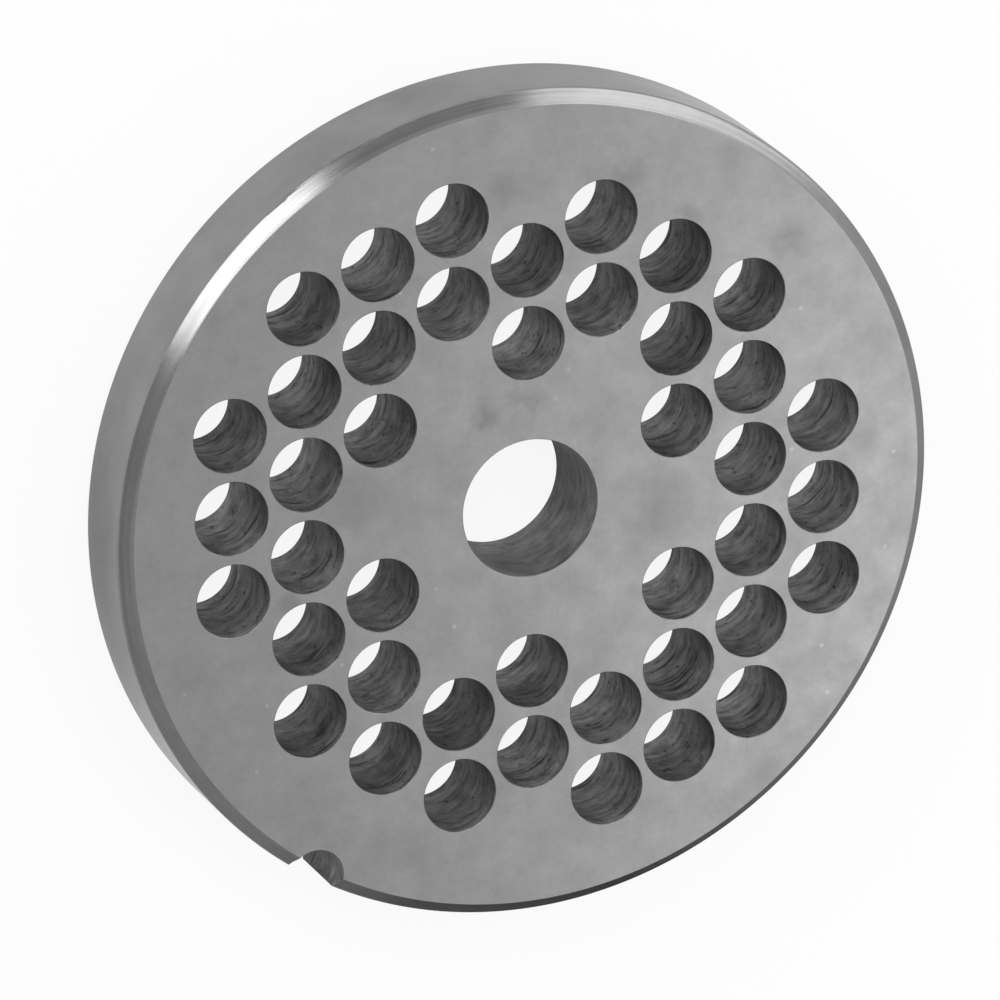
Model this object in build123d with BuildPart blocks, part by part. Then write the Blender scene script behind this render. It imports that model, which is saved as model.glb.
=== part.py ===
"""Meat grinder plate: a one-piece hardened steel disc that the knife sweeps and the meat is pushed through.

Frame: the origin is on the bore axis, in the back face that the plate lies on. +Z points out of the front
face. The straight rows of mincing holes run along +Y, and the locating notch is at the lower left.
"""

import os
from math import ceil, cos, hypot, radians, sin

from build123d import *

# Driving dimensions, in millimetres and degrees.
plate_diameter = 70.0  # turned rim, a sliding fit in the mouth of the grinder
plate_thickness = 9.0  # between the two ground faces
rim_chamfer = 1.1  # 45 degree chamfer where each face meets the rim
bore_diameter = 11.6  # turns on the pin at the end of the worm
hole_diameter = 6.2  # mincing holes, drilled straight through
hole_pitch = 7.0  # centre to centre along both directions of the drilling grid
grid_angle = 66.0  # between those two directions
hub_land = 4.5  # least solid width between the bore and a mincing hole
edge_land = 3.2  # least solid width between a mincing hole and the chamfer
notch_radius = 2.25  # half-round notch that takes the locating peg
notch_depth = 2.65  # from the rim to the bottom of the notch
notch_angle = 237.0  # round the rim, counter-clockwise from +X
cutter_overrun = 1.0  # how far each through cut runs past both faces

# Sizes that follow from them.
rim_radius = plate_diameter / 2
face_radius = rim_radius - rim_chamfer
bore_radius = bore_diameter / 2
hole_radius = hole_diameter / 2
notch_centre = rim_radius - notch_depth + notch_radius
cut_length = plate_thickness + 2 * cutter_overrun
cut_plane = Plane.XY.offset(-cutter_overrun)


def hole_centres():
    """Centres of the drilling grid that leave the hub land and the edge land whole."""
    nearest = bore_radius + hub_land + hole_radius
    farthest = face_radius - edge_land - hole_radius
    reach = ceil(face_radius / (hole_pitch * sin(radians(grid_angle))))
    centres = []
    for row in range(-reach, reach + 1):
        for place in range(-2 * reach, 2 * reach + 1):
            x = row * hole_pitch * sin(radians(grid_angle))
            y = (row * cos(radians(grid_angle)) + place) * hole_pitch
            if nearest <= hypot(x, y) <= farthest:
                centres.append((x, y))
    return centres


with BuildPart() as grinder_plate:
    # Turned blank: the half section from the bore to the rim, with both chamfers, revolved about the bore.
    with BuildSketch(Plane.XZ):
        with BuildLine():
            Polyline(
                (bore_radius, 0),
                (face_radius, 0),
                (rim_radius, rim_chamfer),
                (rim_radius, plate_thickness - rim_chamfer),
                (face_radius, plate_thickness),
                (bore_radius, plate_thickness),
                close=True,
            )
        make_face()
    revolve(axis=Axis.Z)

    # Mincing holes, in a band of the drilling grid between the hub and the edge.
    with BuildSketch(cut_plane):
        with Locations(*hole_centres()):
            Circle(hole_radius)
    extrude(amount=cut_length, mode=Mode.SUBTRACT)

    # Locating notch: a half-round groove down the whole rim.
    with BuildSketch(cut_plane):
        with PolarLocations(notch_centre, 1, start_angle=notch_angle):
            Circle(notch_radius)
    extrude(amount=cut_length, mode=Mode.SUBTRACT)

os.makedirs("parts", exist_ok=True)
grinder_plate.part.label = "grinder_plate"
export_step(grinder_plate.part, "parts/grinder_plate.step")
print("mincing holes:", len(hole_centres()))
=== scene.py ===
"""Meat grinder plate, dressed: surface-ground faces, turned rim and chamfers, and drilled holes
with their edges broken."""
import random
from math import acos, cos, degrees, hypot, pi, radians, sin, tan, tau

import bpy
from mathutils import Matrix, Vector
from mathutils.geometry import delaunay_2d_cdt


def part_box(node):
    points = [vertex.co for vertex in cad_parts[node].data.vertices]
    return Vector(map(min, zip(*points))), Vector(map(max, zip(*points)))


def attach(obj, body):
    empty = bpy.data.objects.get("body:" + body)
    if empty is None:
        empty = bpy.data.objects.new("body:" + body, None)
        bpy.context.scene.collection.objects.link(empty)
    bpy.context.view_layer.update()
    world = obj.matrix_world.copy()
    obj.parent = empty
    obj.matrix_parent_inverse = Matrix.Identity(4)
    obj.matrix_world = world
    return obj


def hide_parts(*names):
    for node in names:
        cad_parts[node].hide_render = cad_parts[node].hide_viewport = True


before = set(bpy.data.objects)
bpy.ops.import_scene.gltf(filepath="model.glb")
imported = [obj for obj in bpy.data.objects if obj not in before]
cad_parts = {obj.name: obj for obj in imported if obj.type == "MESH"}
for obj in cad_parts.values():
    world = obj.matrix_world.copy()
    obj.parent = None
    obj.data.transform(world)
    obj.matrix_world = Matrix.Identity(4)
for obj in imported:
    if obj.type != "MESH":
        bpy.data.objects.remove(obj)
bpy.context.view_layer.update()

MM = 0.001  # everything is in millimetres until it becomes a vertex, a lamp or a camera

# The plate, in the numbers that it is made to.
plate_low, plate_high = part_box("grinder_plate")
plate_thickness = (plate_high[2] - plate_low[2]) / MM
plate_radius = 35.0
rim_chamfer = 1.1
face_radius = plate_radius - rim_chamfer
bore_radius = 5.8
hole_radius = 3.1
hole_pitch = 7.0
grid_angle = radians(66.0)  # between the two directions of the drilling grid
hub_land = 4.5  # solid ring round the bore
edge_land = 3.2  # solid ring inside the chamfer
notch_radius = 2.25
notch_depth = 2.65  # from the rim to the bottom of the notch
notch_centre = plate_radius - notch_depth + notch_radius  # from the bore axis
notch_angle = radians(237.0)

# What the tools leave on it.
edge_break = 0.05  # a stone's stroke round each hole, just enough to take the burr off
corner_round = 0.35  # the tool's nose leaves this radius where the front chamfer meets the rim
chamfer_ridge, rim_ridge = 0.012, 0.006  # the deepest of the fine ridges that turning leaves
bore_mark, hole_mark = 0.004, 0.03  # the deepest of the rings that reamer and drill leave
# two grooves where the tool dug in, by their step of the corner's round: depth, and the two
# bearings in degrees that each runs between
grooves_at_step = {1: (0.03, 109.0, 129.0), 3: (0.03, 114.0, 126.0)}
no_groove = (0.0, 0.0, 1.0)

# How finely the round shapes are cut up.
rim_steps, notch_steps = 360, 26
hole_steps, bore_steps = 60, 120
chamfer_cuts, corner_turns, rim_passes = 6, 4, 15


# ---------------------------------------------------------------- shape

def round_point(radius, angle):
    return radius * cos(angle), radius * sin(angle)


def hole_centres():
    """Where the mincing holes go: the places of the skewed grid that clear the hub land and the
    edge land."""
    inner = bore_radius + hub_land + hole_radius
    outer = face_radius - edge_land - hole_radius
    row_step, row_shift = hole_pitch * sin(grid_angle), hole_pitch * cos(grid_angle)
    rows, places = 5, 8  # to either side of the middle, which reaches past the rim
    centres = []
    for row in range(-rows, rows + 1):
        for place in range(-places, places + 1):
            x, y = row * row_step, row * row_shift + place * hole_pitch
            if inner <= hypot(x, y) <= outer:
                centres.append((x, y))
    return centres


def rim_outline(radius, notch, groove):
    """One level of the rim, counter-clockwise: round the plate from lip to lip, then back through
    the notch. A groove fades out at both ends of its arc. Also says which points it reaches."""
    depth, start, stop = groove

    def dip(angle):
        share = (degrees(angle) % 360.0 - start) / (stop - start)
        return depth * sin(pi * share) if 0.0 < share < 1.0 else 0.0

    lip = acos((radius**2 + notch_centre**2 - notch**2) / (2 * radius * notch_centre))
    half = acos((notch_centre**2 + notch**2 - radius**2) / (2 * notch_centre * notch))
    first, last = notch_angle + lip, notch_angle + tau - lip
    angles = [first + (last - first) * i / rim_steps for i in range(rim_steps + 1)]
    points = [round_point(radius - dip(angle), angle) for angle in angles]
    cx, cy = round_point(notch_centre, notch_angle)
    inward = notch_angle + pi
    for i in range(1, notch_steps):
        dx, dy = round_point(notch, inward + half - 2 * half * i / notch_steps)
        points.append((cx + dx, cy + dy))
    shade_from = 0.2 * depth  # shallower than this, a groove gets no painted shade
    return points, [dip(angle) > shade_from for angle in angles]


def turned_profile():
    """The rim's section from the front face to the back: height, radius, how much the notch is
    eased there, and the groove. The ridges break each light on the edge into fine streaks."""
    chance = random.Random(7)
    section = [(plate_thickness, face_radius, edge_break, no_groove)]
    # the round meets the chamfer and the rim at its tangents, half a 45 degree turn from the
    # sharp corner
    reach = corner_round * tan(radians(22.5))
    slope_end = rim_chamfer - reach * sin(radians(45.0))
    for i in range(1, chamfer_cuts + 1):
        along = slope_end * i / chamfer_cuts
        ridge = chance.uniform(-chamfer_ridge, 0.0) if i < chamfer_cuts else 0.0
        section.append((plate_thickness - along + ridge, face_radius + along + ridge, 0.0,
                        no_groove))
    for i in range(1, corner_turns + 1):
        tilt = radians(45.0 - 45.0 * i / corner_turns)
        section.append((plate_thickness - rim_chamfer - reach + corner_round * sin(tilt),
                        plate_radius - corner_round + corner_round * cos(tilt), 0.0,
                        grooves_at_step.get(i, no_groove)))
    top, bottom = section[-1][0], rim_chamfer
    for i in range(1, rim_passes + 1):
        ridge = chance.uniform(-rim_ridge, 0.0) if i < rim_passes else 0.0
        section.append((top + (bottom - top) * i / rim_passes, plate_radius + ridge, 0.0,
                        no_groove))
    section.append((0.0, face_radius, edge_break, no_groove))
    return section


def drilled_section(radius, seed, mark):
    """A hole's wall from the front edge to the back: broken edges, and the rings that the drill's
    lips score 0.35 to 0.75 mm apart."""
    chance = random.Random(seed)
    section = [(plate_thickness, radius + edge_break), (plate_thickness - edge_break, radius)]
    z = plate_thickness - edge_break
    while z > 1.1:  # the last ring stays clear of the back edge
        z -= chance.uniform(0.35, 0.75)
        section.append((z, radius + chance.uniform(0.0, mark)))
    return section + [(edge_break, radius), (0.0, radius + edge_break)]


# The finishes, in the order in which the plate gets its steels at the end; the last darkens a
# groove's faces as painted shade.
GROUND, TURNED, DRILLED, BORED, SHADED_GROOVE = range(5)


class PlateMesh:
    """Gathers the plate's vertices and faces, each face with the finish it was cut to."""

    def __init__(self):
        self.points, self.faces, self.finishes = [], [], []

    def ring(self, outline, z):
        start = len(self.points)
        self.points += [(x * MM, y * MM, z * MM) for x, y in outline]
        return list(range(start, len(self.points)))

    def skin(self, upper, lower, finish_of):
        """Quads between two counter-clockwise rings, facing outwards; turned round for a hole by
        naming the lower ring first."""
        for i in range(len(upper)):
            j = (i + 1) % len(upper)
            self.faces.append((upper[i], lower[i], lower[j], upper[j]))
            self.finishes.append(finish_of(i))

    def cap(self, rings, openings, up):
        """Fills a ground face between its outer ring and the rings of its holes, and leaves the
        openings (x, y, radius)."""
        flat, origin, edges = [], [], []
        for ring in rings:
            start = len(flat)
            for k, index in enumerate(ring):
                flat.append(Vector(self.points[index][:2]) / MM)
                origin.append(index)
                edges.append((start + k, start + (k + 1) % len(ring)))
        inside, tolerance = 1, 1e-5  # keeps the triangles within the outer ring
        made, _, triangles, whence, _, _ = delaunay_2d_cdt(flat, edges, [], inside, tolerance)
        for triangle in triangles:
            middle = sum((made[k] for k in triangle), Vector((0.0, 0.0))) / 3
            if any(hypot(middle.x - x, middle.y - y) < radius for x, y, radius in openings):
                continue
            corners = [origin[whence[k][0]] for k in triangle]
            a, b, c = (Vector(self.points[k]) for k in corners)
            if ((b - a).cross(c - a).z > 0) != up:
                corners.reverse()
            self.faces.append(tuple(corners))
            self.finishes.append(GROUND)


def build_plate():
    build = PlateMesh()
    levels = []
    for z, radius, ease, groove in turned_profile():
        points, dips = rim_outline(radius, notch_radius + ease, groove)
        levels.append((build.ring(points, z), dips))
    for (upper, _), (lower, dips) in zip(levels, levels[1:]):
        # past the rim's own steps come those of the notch, which is drilled
        # faces deep in a groove take the darkened groove steel: painted shade
        build.skin(upper, lower,
                   lambda i: DRILLED if i >= rim_steps else SHADED_GROOVE if dips[i] else TURNED)
    front, back = [levels[0][0]], [levels[-1][0]]
    holes = [(0.0, 0.0, bore_radius, bore_steps, bore_mark, BORED)]
    holes += [(x, y, hole_radius, hole_steps, hole_mark, DRILLED) for x, y in hole_centres()]
    for seed, (x, y, radius, steps, mark, finish) in enumerate(holes):
        chance = random.Random(500 + seed)
        rings = []
        for z, r in drilled_section(radius, seed, mark):
            # a mark is deeper on one side, because the drill wanders
            lean, turn = (r - radius) * 0.8, chance.uniform(0.0, tau)
            outline = []
            for k in range(steps):
                angle = tau * k / steps
                broken = z <= edge_break or z >= plate_thickness - edge_break
                reach = r if broken else r + lean * sin(angle + turn)
                outline.append((x + reach * cos(angle), y + reach * sin(angle)))
            rings.append(build.ring(outline, z))
        for upper, lower in zip(rings, rings[1:]):
            build.skin(lower, upper, lambda i: finish)
        front.append(rings[0])
        back.append(rings[-1])
    # a ring's flats dip inside its circle, so an opening is counted to just short of them
    openings = [(x, y, (radius + edge_break) * cos(1.25 * pi / steps))
                for x, y, radius, steps, *_ in holes]
    build.cap(front, openings, True)
    build.cap(back, openings, False)
    mesh = bpy.data.meshes.new("dressed_plate")
    mesh.from_pydata(build.points, [], build.faces)
    mesh.polygons.foreach_set("material_index", build.finishes)
    mesh.polygons.foreach_set("use_smooth", [True] * len(build.faces))
    mesh.set_sharp_from_angle(angle=radians(20.0))  # edges stay crisp, round shapes blend
    mesh.update()
    plate = bpy.data.objects.new("dressed_plate", mesh)
    bpy.context.scene.collection.objects.link(plate)
    return plate


# ---------------------------------------------------------------- materials

def linear(hex_colour):
    """An sRGB hex colour as the linear red, green, blue and alpha that the shaders take."""
    parts = [int(hex_colour[i:i + 2], 16) / 255 for i in (1, 3, 5)]
    return tuple(c / 12.92 if c <= 0.04045 else ((c + 0.055) / 1.055) ** 2.4
                 for c in parts) + (1.0,)


def add(tree, kind, sockets=(), **settings):
    """Adds one node, sets its own settings, then each socket to a value or to the output that
    feeds it."""
    made = tree.nodes.new("ShaderNode" + kind)
    for name, value in settings.items():
        setattr(made, name, value)
    for name, value in dict(sockets).items():
        if isinstance(value, bpy.types.NodeSocket):
            tree.links.new(value, made.inputs[name])
        else:
            made.inputs[name].default_value = value
    return made


def start_material(name):
    made = bpy.data.materials.new(name)
    made.use_nodes = True
    made.node_tree.nodes.clear()
    return made, made.node_tree


def finish_steel(tree, colour, roughness, normal):
    """Bare steel; the tint takes a little off its shine at grazing angles."""
    steel = add(tree, "BsdfPrincipled", {
        "Base Color": colour, "Metallic": 1.0, "Roughness": roughness,
        "Specular Tint": linear("#E0E0E0"), "Normal": normal})
    add(tree, "OutputMaterial", {"Surface": steel.outputs[0]})


# Smudges that oil and handling have left on the front face: x, y and radius in millimetres, and
# how deep the tone is.
smudges = ((-3.8, 8.4, 1.1, 0.26), (-0.8, 9.4, 1.0, 0.22), (0.6, 9.0, 0.9, 0.17),
           (11.3, -1.8, 3.0, 0.15), (22.7, 19.6, 1.5, 0.15), (8.7, 26.7, 1.6, 0.20),
           (5.6, 27.2, 1.6, 0.14), (-1.9, 27.0, 1.5, 0.17), (14.1, 23.0, 1.1, 0.15),
           (-15.1, 2.8, 2.6, 0.14), (-20.8, -5.2, 0.8, 0.20), (20.8, -25.7, 1.6, 0.14),
           (29.3, 1.8, 1.3, 0.13), (-9.9, -28.5, 1.8, 0.13))


def surface_ground_steel():
    """Hardened carbon steel, surface ground on both faces: an even satin grey, faintly clouded and
    smudged where oil and hands have been, with the short scratches of the wheel only just there."""
    material, tree = start_material("surface_ground_steel")
    place = add(tree, "TexCoord").outputs["Object"]
    clouds = add(tree, "TexNoise", {
        "Vector": place, "Scale": 1 / (4.2 * MM), "Detail": 7.0, "Roughness": 0.76})
    colour = add(tree, "ValToRGB", {"Fac": clouds.outputs["Fac"]})
    greys = ((0.30, "#929292"), (0.68, "#A3A3A3"))
    for stop, (position, grey) in zip(colour.color_ramp.elements, greys):
        stop.position, stop.color = position, linear(grey)
    # the smudges' edges are drawn ragged by moving each place a little before its distance is taken
    ragged = add(tree, "TexNoise", {
        "Vector": place, "Scale": 1 / (1.3 * MM), "Detail": 3.0, "Roughness": 0.6})
    moved = add(tree, "VectorMath", {0: ragged.outputs["Color"], 1: (0.5, 0.5, 0.5)},
                operation="SUBTRACT")
    moved = add(tree, "VectorMath", {0: moved.outputs[0], "Scale": 2.6 * MM}, operation="SCALE")
    moved = add(tree, "VectorMath", {0: place, 1: moved.outputs[0]}, operation="ADD")
    tone = colour.outputs[0]
    for x, y, radius, depth in smudges:
        centre = (x * MM, y * MM, plate_thickness * MM)
        away = add(tree, "VectorMath", {0: moved.outputs[0], 1: centre}, operation="DISTANCE")
        share = add(tree, "MapRange", {
            "Value": away.outputs["Value"], "From Min": 0.0, "From Max": 1.6 * radius * MM,
            "To Min": 1.0 - depth, "To Max": 1.0}, interpolation_type="SMOOTHSTEP")
        tone = add(tree, "Mix", {"Factor": 1.0, 6: tone, 7: share.outputs[0]},
                   data_type="RGBA", blend_type="MULTIPLY").outputs[2]
    # pinpoint specks, where the wheel has left a bright nick
    nicks = add(tree, "TexVoronoi", {"Vector": place, "Scale": 1 / (3.4 * MM)})
    nick = add(tree, "MapRange", {
        "Value": nicks.outputs["Distance"], "From Min": 0.03, "From Max": 0.07,
        "To Min": 0.32, "To Max": 0.0})
    tone = add(tree, "Mix", {"Factor": nick.outputs[0], 6: tone, 7: linear("#CFCFCF")},
               data_type="RGBA").outputs[2]
    # the wheel's scratches are about 0.03 mm apart; drawn at 0.25 mm across and 3 mm long, or
    # they would not show
    along = add(tree, "Mapping", {
        "Vector": place, "Scale": (1 / (0.25 * MM), 1 / (3.0 * MM), 1 / (3.0 * MM))})
    scratches = add(tree, "TexNoise", {
        "Vector": along.outputs[0], "Scale": 1.0, "Detail": 3.0, "Roughness": 0.6})
    # the lighter clouds are the ones that the wheel has left a little smoother
    roughness = add(tree, "MapRange", {
        "Value": clouds.outputs["Fac"], "From Min": 0.3, "From Max": 0.7,
        "To Min": 0.42, "To Max": 0.35})
    bump = add(tree, "Bump", {
        "Height": scratches.outputs["Fac"], "Strength": 0.08, "Distance": 0.05 * MM})
    finish_steel(tree, tone, roughness.outputs[0], bump.outputs[0])
    return material


def turned_steel():
    """The same steel, turned on the lathe: fine grooves run round the rim and the chamfers and
    stretch each light into a streak that follows the edge. A stretch of painted shade darkens the
    left of the rim."""
    material, tree = start_material("turned_steel")
    place = add(tree, "TexCoord").outputs["Object"]
    # the feed is about 0.08 mm a turn; drawn at 0.2 mm, or it would not show
    round_rim = add(tree, "Mapping", {
        "Vector": place, "Scale": (1 / (22 * MM), 1 / (22 * MM), 1 / (0.2 * MM))})
    grooves = add(tree, "TexNoise", {
        "Vector": round_rim.outputs[0], "Scale": 1.0, "Detail": 3.0, "Roughness": 0.6})
    clouds = add(tree, "TexNoise", {
        "Vector": place, "Scale": 1 / (7.0 * MM), "Detail": 4.0, "Roughness": 0.6})
    colour = add(tree, "ValToRGB", {"Fac": clouds.outputs["Fac"]})
    greys = ((0.32, "#858585"), (0.62, "#929292"))
    for stop, (position, grey) in zip(colour.color_ramp.elements, greys):
        stop.position, stop.color = position, linear(grey)
    roughness = add(tree, "MapRange", {
        "Value": grooves.outputs["Fac"], "From Min": 0.3, "From Max": 0.7,
        "To Min": 0.18, "To Max": 0.27})
    # painted shade: a stretch darkens the rim; it is long round the rim and dies away before the
    # chamfer, so heights count 3.5 times in it; it is darkest on the left of the rim, 3 mm up
    tall = add(tree, "VectorMath", {0: place, 1: (1.0, 1.0, 3.5)}, operation="MULTIPLY")
    rim_shade_at = (-33.9 * MM, -8.5 * MM, 3.5 * 3.0 * MM)
    away = add(tree, "VectorMath", {0: tall.outputs[0], 1: rim_shade_at}, operation="DISTANCE")
    painted_rim_shade = add(tree, "MapRange", {
        "Value": away.outputs["Value"], "From Min": 0.0, "From Max": 30 * MM,
        "To Min": 0.52, "To Max": 1.0}, interpolation_type="SMOOTHSTEP")
    tone = add(tree, "Mix", {"Factor": 1.0, 6: colour.outputs[0], 7: painted_rim_shade.outputs[0]},
               data_type="RGBA", blend_type="MULTIPLY")
    bump = add(tree, "Bump", {
        "Height": grooves.outputs["Fac"], "Strength": 0.25, "Distance": 0.02 * MM})
    finish_steel(tree, tone.outputs[2], roughness.outputs[0], bump.outputs[0])
    return material


def drilled_steel(name, light, dark, fleck, fleck_share):
    """The same steel as the drill left it: dull and dark, blotched with scale and old oil, with a
    few rings scored across the wall, small flecks, and no two holes quite alike."""
    material, tree = start_material(name)
    coordinates = add(tree, "TexCoord")
    place = coordinates.outputs["Object"]
    # broad patches bend and break the rings
    patches = add(tree, "TexNoise", {
        "Vector": place, "Scale": 1 / (2.2 * MM), "Detail": 3.0, "Roughness": 0.6})
    bent = add(tree, "VectorMath", {0: patches.outputs["Color"], "Scale": 0.9 * MM},
               operation="SCALE")
    bent_place = add(tree, "VectorMath", {0: place, 1: bent.outputs[0]}, operation="ADD")
    rings_at = add(tree, "Mapping", {
        "Vector": bent_place.outputs[0], "Scale": (1 / (2.6 * MM), 1 / (2.6 * MM), 1 / (0.6 * MM))})
    rings = add(tree, "TexNoise", {
        "Vector": rings_at.outputs[0], "Scale": 1.0, "Detail": 2.5, "Roughness": 0.5})
    blotches = add(tree, "TexNoise", {
        "Vector": place, "Scale": 1 / (1.3 * MM), "Detail": 5.0, "Roughness": 0.72})
    uneven = add(tree, "Math", {0: rings.outputs["Fac"], 1: blotches.outputs["Fac"]},
                 operation="ADD")
    cleaner = add(tree, "MapRange", {
        "Value": uneven.outputs[0], "From Min": 0.73, "From Max": 1.22})
    wall = add(tree, "Mix", {"Factor": cleaner.outputs[0], 6: linear(dark), 7: linear(light)},
               data_type="RGBA")
    # the scored rings are hair-fine; drawn 0.15 mm wide, or they would not show
    scores_at = add(tree, "Mapping", {
        "Vector": bent_place.outputs[0],
        "Scale": (1 / (5.0 * MM), 1 / (5.0 * MM), 1 / (0.55 * MM))})
    scores = add(tree, "TexNoise", {
        "Vector": scores_at.outputs[0], "Scale": 1.0, "Detail": 1.0, "Roughness": 0.5})
    score = add(tree, "MapRange", {
        "Value": scores.outputs["Fac"], "From Min": 0.63, "From Max": 0.72,
        "To Max": fleck_share})
    flecks = add(tree, "TexNoise", {
        "Vector": place, "Scale": 1 / (0.6 * MM), "Detail": 2.0, "Roughness": 0.6})
    spot = add(tree, "MapRange", {
        "Value": flecks.outputs["Fac"], "From Min": 0.62, "From Max": 0.72,
        "To Max": fleck_share})
    marks = add(tree, "Math", {0: score.outputs[0], 1: spot.outputs[0]}, operation="MAXIMUM")
    marked = add(tree, "Mix", {"Factor": marks.outputs[0], 6: wall.outputs[2], 7: linear(fleck)},
                 data_type="RGBA")
    # painted shade: each wall is darker on one side of its hole, where less light falls; old oil
    # lies more in some holes than in others
    lit_side = add(tree, "VectorMath", {0: coordinates.outputs["Normal"], 1: (0.10, 0.99, 0.0)},
                     operation="DOT_PRODUCT")
    painted_side_shade = add(tree, "MapRange", {
        "Value": lit_side.outputs["Value"], "From Min": -0.7, "From Max": 0.9,
        "To Min": 0.50, "To Max": 1.0})
    wear = add(tree, "TexNoise", {"Vector": place, "Scale": 1 / (9.0 * MM), "Detail": 0.0})
    worn = add(tree, "MapRange", {
        "Value": wear.outputs["Fac"], "From Min": 0.3, "From Max": 0.7,
        "To Min": 0.73, "To Max": 1.34})
    shade_light_and_wear = add(tree, "Math", {0: painted_side_shade.outputs[0], 1: worn.outputs[0]}, operation="MULTIPLY")
    # painted light: the wall is lighter just inside the front face, where light falls into the hole
    height = add(tree, "SeparateXYZ", {0: place}).outputs[2]
    painted_top_light = add(tree, "MapRange", {
        "Value": height, "From Min": (plate_thickness - 3.6) * MM,
        "From Max": (plate_thickness - 0.4) * MM, "To Min": 1.0, "To Max": 1.7})
    shade_light_and_wear = add(tree, "Math", {0: shade_light_and_wear.outputs[0], 1: painted_top_light.outputs[0]}, operation="MULTIPLY")
    tone = add(tree, "Mix", {"Factor": 1.0, 6: marked.outputs[2], 7: shade_light_and_wear.outputs[0]},
               data_type="RGBA", blend_type="MULTIPLY")
    bump = add(tree, "Bump", {
        "Height": uneven.outputs[0], "Strength": 0.5, "Distance": 0.05 * MM})
    finish_steel(tree, tone.outputs[2], 0.55, bump.outputs[0])
    return material


# ---------------------------------------------------------------- studio

def lay_sweep():
    """The pale sweep that the plate lies on: a floor that turns up into a low wall far behind."""
    floor_radius, bend, wall_top = 1.9, 0.4, 0.7  # metres
    profile = [(0.0, 0.0), (0.05, 0.0), (0.2, 0.0), (0.6, 0.0), (floor_radius, 0.0)]
    for t in range(1, 9):
        turn = t * pi / 16
        profile.append((floor_radius + bend * sin(turn), bend - bend * cos(turn)))
    profile.append((floor_radius + bend, wall_top))
    steps = 96
    points, faces = [(0.0, 0.0, 0.0)], []
    for r, z in profile[1:]:
        points += [(r * cos(tau * k / steps), r * sin(tau * k / steps), z) for k in range(steps)]
    for k in range(steps):
        j = (k + 1) % steps
        faces.append((0, 1 + k, 1 + j))
        for ring in range(len(profile) - 2):
            a, b = 1 + ring * steps, 1 + (ring + 1) * steps
            faces.append((a + k, b + k, b + j, a + j))
    mesh = bpy.data.meshes.new("sweep")
    mesh.from_pydata(points, [], faces)
    mesh.polygons.foreach_set("use_smooth", [True] * len(faces))
    sweep = bpy.data.objects.new("sweep", mesh)
    bpy.context.scene.collection.objects.link(sweep)
    material, tree = start_material("white_paper")
    path = add(tree, "LightPath")
    # what is seen straight, in metal or through glass is the same white paper, and a tenth of it
    # is lit, which keeps the plate's shadow
    seen = add(tree, "Math", {
        0: path.outputs["Is Camera Ray"], 1: path.outputs["Is Transmission Ray"]},
        operation="MAXIMUM")
    seen = add(tree, "Math", {0: seen.outputs[0], 1: path.outputs["Is Glossy Ray"]},
               operation="MAXIMUM")
    share = add(tree, "Math", {0: seen.outputs[0], 1: 0.90}, operation="MULTIPLY")
    paper = add(tree, "BsdfDiffuse", {"Color": linear("#F2F2F2")})
    white = add(tree, "Emission", {"Color": linear("#FFFFFF"), "Strength": 1.0})
    both = add(tree, "MixShader", {0: share.outputs[0], 1: paper.outputs[0], 2: white.outputs[0]})
    add(tree, "OutputMaterial", {"Surface": both.outputs[0]})
    mesh.materials.append(material)


def lay_grey_card():
    """A grey card, darkest in its middle, on the floor beside the plate and bent up at its far
    edge: only reflections show it, and the chamfer that looks that way gets its dark line from
    it."""
    # bearing in degrees, height of the bent-up edge in millimetres, shade
    stops = ((200, 85, "#F2F2F2"), (228, 85, "#DADADA"), (250, 60, "#C4C4C4"),
             (264, 10, "#808080"), (288, 10, "#686868"), (318, 10, "#B0B0B0"),
             (340, 10, "#D4D4D4"), (380, 10, "#F2F2F2"))
    near, far, lift = 44 * MM, 300 * MM, 0.2 * MM
    points, faces, shades = [], [], []
    for (start, edge, pale), (stop, next_edge, next_pale) in zip(stops, stops[1:]):
        steps = max(2, round((stop - start) / 3))  # about 3 degrees each
        for k in range(steps + (stop == stops[-1][0])):  # the last stretch has its end too
            share, angle = k / steps, radians(start + (stop - start) * k / steps)
            high = (edge + (next_edge - edge) * share) * MM
            shade = tuple(a + (b - a) * share for a, b in zip(linear(pale), linear(next_pale)))
            points += [(r * cos(angle), r * sin(angle), z)
                       for r, z in ((near, lift), (far, lift), (far, high))]
            shades += [shade] * 3
    for k in range(0, len(points) - 3, 3):
        faces += [(k, k + 1, k + 4, k + 3), (k + 1, k + 2, k + 5, k + 4)]
    mesh = bpy.data.meshes.new("grey_card")
    mesh.from_pydata(points, [], faces)
    printed = mesh.color_attributes.new("shade", "FLOAT_COLOR", "POINT")
    for place, shade in zip(printed.data, shades):
        place.color = shade
    card = bpy.data.objects.new("grey_card", mesh)
    bpy.context.scene.collection.objects.link(card)
    material, tree = start_material("printed_card")
    grey = add(tree, "VertexColor", layer_name="shade")
    paper = add(tree, "BsdfDiffuse", {"Color": grey.outputs[0]})
    add(tree, "OutputMaterial", {"Surface": paper.outputs[0]})
    mesh.materials.append(material)
    card.visible_camera = card.visible_diffuse = False
    card.visible_shadow = card.visible_transmission = False


def soft_box(name, azimuth, elevation, distance, width, height, radiance, aim=(0.0, 0.0, 0.0)):
    """A rectangular soft light at a bearing from the plate, facing it; radiance 1 mirrors as plain
    white."""
    a, e = radians(azimuth), radians(elevation)
    where = Vector((cos(a) * cos(e), sin(a) * cos(e), sin(e))) * distance
    data = bpy.data.lights.new(name, "AREA")
    data.shape, data.size, data.size_y = "RECTANGLE", width, height
    data.energy = radiance * pi * width * height
    lamp = bpy.data.objects.new(name, data)
    lamp.location = where + Vector(aim)
    lamp.rotation_mode = "QUATERNION"
    lamp.rotation_quaternion = (-where).to_track_quat("-Z", "Y")
    lamp.visible_camera = False
    bpy.context.scene.collection.objects.link(lamp)


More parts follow.
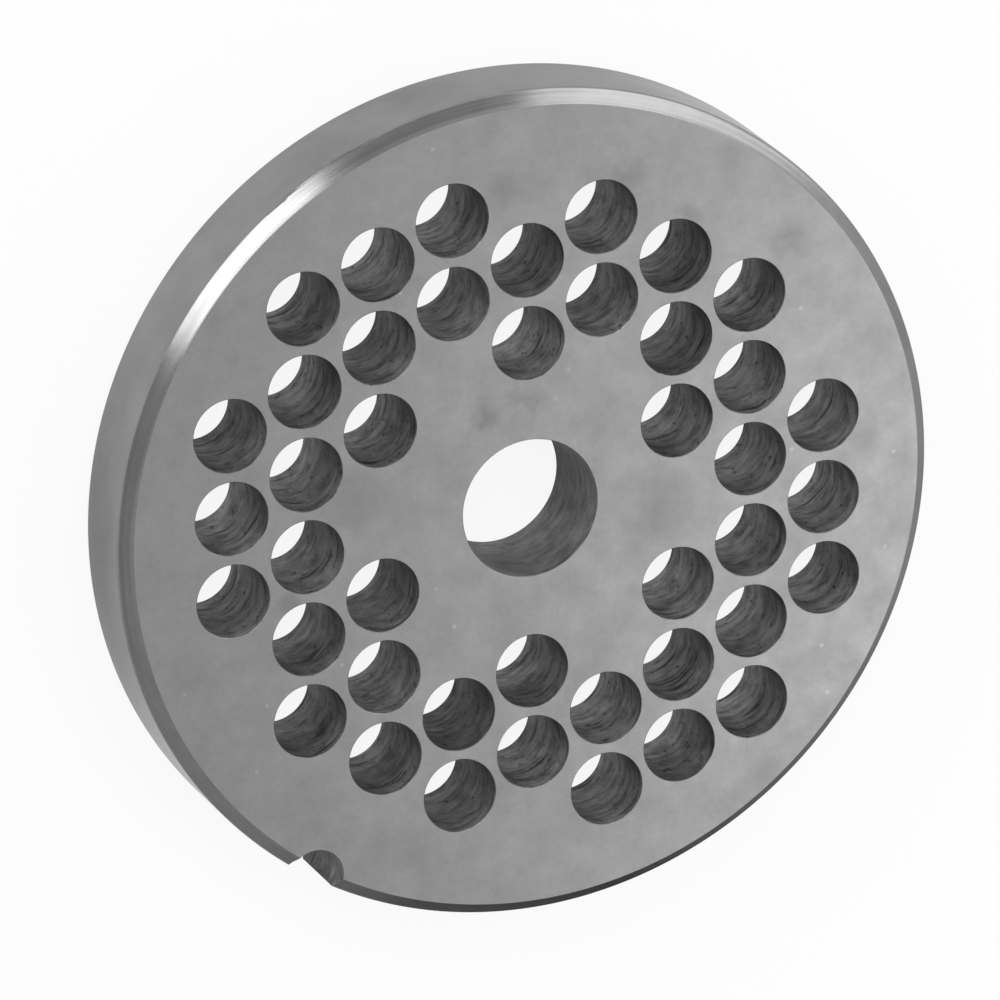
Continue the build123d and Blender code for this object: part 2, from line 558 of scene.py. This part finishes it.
def light_studio():
    world = bpy.data.worlds.new("grey_studio")
    world.use_nodes = True
    tree = world.node_tree
    tree.nodes.clear()
    heading = add(tree, "TexCoord").outputs["Generated"]
    up = add(tree, "SeparateXYZ", {0: heading}).outputs[2]
    # a little brighter overhead, as a room is
    level = add(tree, "MapRange", {
        "Value": up, "From Min": 0.0, "From Max": 1.0, "To Min": 0.37, "To Max": 0.52})
    grey = add(tree, "Background", {"Color": linear("#FFFFFF"), "Strength": level.outputs[0]})
    add(tree, "OutputWorld", {"Surface": grey.outputs[0]})
    bpy.context.scene.world = world
    # the white streak on the chamfer
    soft_box("key_box", 134, 27, 0.9, 0.62, 0.22, 4.4)
    # the pale line on the side of the chamfer away from the notch
    soft_box("side_box", 42, 13, 0.9, 0.86, 0.32, 1.75)
    # the plain light of the whole scene, floor and all
    soft_box("high_box", 105, 60, 0.8, 0.90, 0.60, 1.5)
    # near the plate and aimed to one side, so that the ground face lightens towards that side
    soft_box("top_box", 315, 60, 0.26, 0.18, 0.16, 2.2, aim=(0.120, -0.008, 0.0))


def place_camera():
    """A long lens well away from the plate, rolled until the rows of holes stand upright."""
    data = bpy.data.cameras.new("camera")
    data.sensor_width, data.lens = 36.0, 463.39
    data.clip_start, data.clip_end = 0.05, 10.0
    camera = bpy.data.objects.new("camera", data)
    where = Vector((-354.08, 346.74, 920.3)) * MM
    right = Vector((0.931473, -0.011523, 0.363628))
    up = Vector((0.131462, 0.942623, -0.306885))
    back = right.cross(up)
    turned = Matrix((right, up, back)).transposed().to_4x4()
    camera.matrix_world = Matrix.Translation(where) @ turned
    bpy.context.scene.collection.objects.link(camera)
    bpy.context.scene.camera = camera


# ---------------------------------------------------------------- the scene

plate = build_plate()
for steel in (surface_ground_steel(), turned_steel(),
              drilled_steel("drilled_steel", "#7E7E7E", "#4A4A4A", "#1A1A1A", 0.75),
              drilled_steel("bored_steel", "#727272", "#525252", "#202020", 0.35),
              # the groove steel is dark as painted shade in the groove
              drilled_steel("painted_groove_shade", "#505050", "#404040", "#181818", 0.35)):
    plate.data.materials.append(steel)
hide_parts("grinder_plate")
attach(plate, "root")

lay_sweep()
lay_grey_card()
light_studio()
place_camera()
bpy.context.scene.view_settings.view_transform = "Standard"
